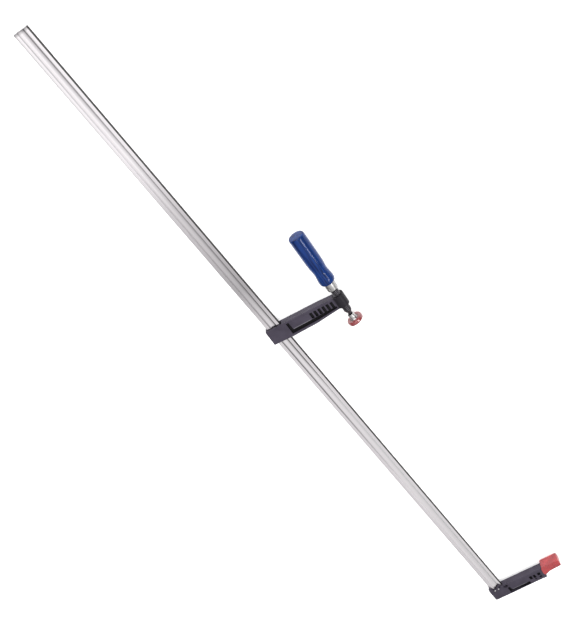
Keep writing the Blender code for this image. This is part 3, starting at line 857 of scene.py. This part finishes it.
def darkened(tree, coord, light, direction, start, end, level):
    """The world's light, brought down to a level where the view runs along a direction."""
    along = tree.nodes.new("ShaderNodeVectorMath")
    along.operation = "DOT_PRODUCT"
    along.inputs[1].default_value = Vector(direction).normalized()
    shade = tree.nodes.new("ShaderNodeMapRange")
    shade.interpolation_type = "SMOOTHSTEP"
    for socket, value in (("From Min", start), ("From Max", end), ("To Min", 1.0), ("To Max", level)):
        shade.inputs[socket].default_value = value
    dim = tree.nodes.new("ShaderNodeVectorMath")
    dim.operation = "SCALE"
    tree.links.new(coord.outputs["Generated"], along.inputs[0])
    tree.links.new(along.outputs["Value"], shade.inputs["Value"])
    tree.links.new(light, dim.inputs[0])
    tree.links.new(shade.outputs["Result"], dim.inputs["Scale"])
    return dim.outputs["Vector"]


def build_world():
    """A light tent: dark below the horizon, bright above, with two dark flags."""
    world = bpy.data.worlds.new("studio")
    bpy.context.scene.world = world
    world.use_nodes = True
    tree = world.node_tree
    background = tree.nodes["Background"]
    coord = tree.nodes.new("ShaderNodeTexCoord")
    split = tree.nodes.new("ShaderNodeSeparateXYZ")
    ramp = tree.nodes.new("ShaderNodeValToRGB")
    stops = [(0.0, 0.12), (0.25, 0.18), (0.48, 0.46), (0.64, 0.80), (0.80, 0.95), (0.92, 1.20)]
    elements = ramp.color_ramp.elements
    while len(elements) < len(stops):
        elements.new(0.5)
    for element, (position, value) in zip(elements, stops):
        element.position = position
        element.color = grey(value)
    tree.links.new(coord.outputs["Generated"], split.inputs[0])
    tree.links.new(split.outputs["Z"], ramp.inputs["Fac"])
    # the hollow of the rail mirrors the first flag near its free end; the second shades the far sides
    light = darkened(tree, coord, ramp.outputs["Color"], (0.0, -0.72, 0.69), 0.90, 0.98, 0.5)
    light = darkened(tree, coord, light, (-0.1, 0.9, 0.4), 0.5, 0.9, 0.3)
    tree.links.new(light, background.inputs["Color"])
    background.inputs["Strength"].default_value = 1.0


def build_studio():
    """A wide floor under the clamp, and three soft lamps above it."""
    low, high = (Vector(corner) for corner in cad_bounds)
    shape = bmesh.new()
    bmesh.ops.create_grid(shape, x_segments=8, y_segments=8, size=FLOOR_REACH)
    floor = from_bmesh("studio_floor", shape, Matrix.Translation((high.x, high.y, low.z)))
    floor.data.materials.append(floor_material())
    middle = (low + high) / 2
    # name, place from the middle of the clamp and size in metres, power in watts
    lamps = (
        ("key", (-2.1, 0.3, 2.3), (2.2, 2.2), 62.0),
        ("small", (0.71, 1.13, 1.41), (0.26, 0.42), 6.0),
        ("low", (0.43, 1.39, 1.39), (0.6, 0.5), 8.0),
    )
    for name, place_at, size, power in lamps:
        lamp = bpy.data.lights.new(name, "AREA")
        lamp.shape = "RECTANGLE"
        lamp.size, lamp.size_y = size
        lamp.energy = power
        obj = bpy.data.objects.new(name, lamp)
        bpy.context.scene.collection.objects.link(obj)
        obj.location = middle + Vector(place_at)
        obj.rotation_euler = (middle - obj.location).to_track_quat("-Z", "Y").to_euler()
    bpy.context.scene.view_settings.view_transform = "Standard"


def build_camera():
    """The camera stands beside the free end and is rolled, so that the rail falls to the lower right."""
    right = Vector(CAMERA_RIGHT).normalized()
    forward = Vector(CAMERA_FORWARD)
    forward = (forward - right * forward.dot(right)).normalized()
    up = right.cross(forward)
    camera = bpy.data.cameras.new("camera")
    camera.lens = CAMERA_LENS
    camera.sensor_width = 36.0
    camera.clip_end = 50.0
    obj = bpy.data.objects.new("camera", camera)
    bpy.context.scene.collection.objects.link(obj)
    matrix = Matrix.Identity(4)
    for column, axis in enumerate((right, up, -forward)):
        for row in range(3):
            matrix[row][column] = axis[row]
    matrix.translation = Vector(CAMERA_PLACE)
    obj.matrix_world = matrix
    bpy.context.scene.camera = obj


arm_cast = cast_material("black_powder_coat_arm", arm_frame,
                         (4.6, 28.0, 69.0), (-13.0, 13.8, 22.0, 121.0), True)
jaw_cast = cast_material("black_powder_coat_jaw", jaw_frame,
                         (22.2, 27.5, 68.0), (4.0, 30.8, 20.5, 102.0))
red = red_material("red_soft_plastic", 0.0, 1.0)
glossy_red = red_material("red_glossy_plastic", 1.0, 0.72)
zinc = zinc_material("bright_zinc", 0.52)
ferrule_zinc = zinc_material("dull_zinc", 0.44)
steel = pin_material()
build_camera()
build_world()
build_studio()
build_rail()
build_sliding_arm(arm_cast)
build_fixed_jaw(jaw_cast)
build_jaw_cap(red)
build_spindle()
build_handle()
build_ferrule(ferrule_zinc)
build_pins(steel)
build_pad(zinc, glossy_red, steel)
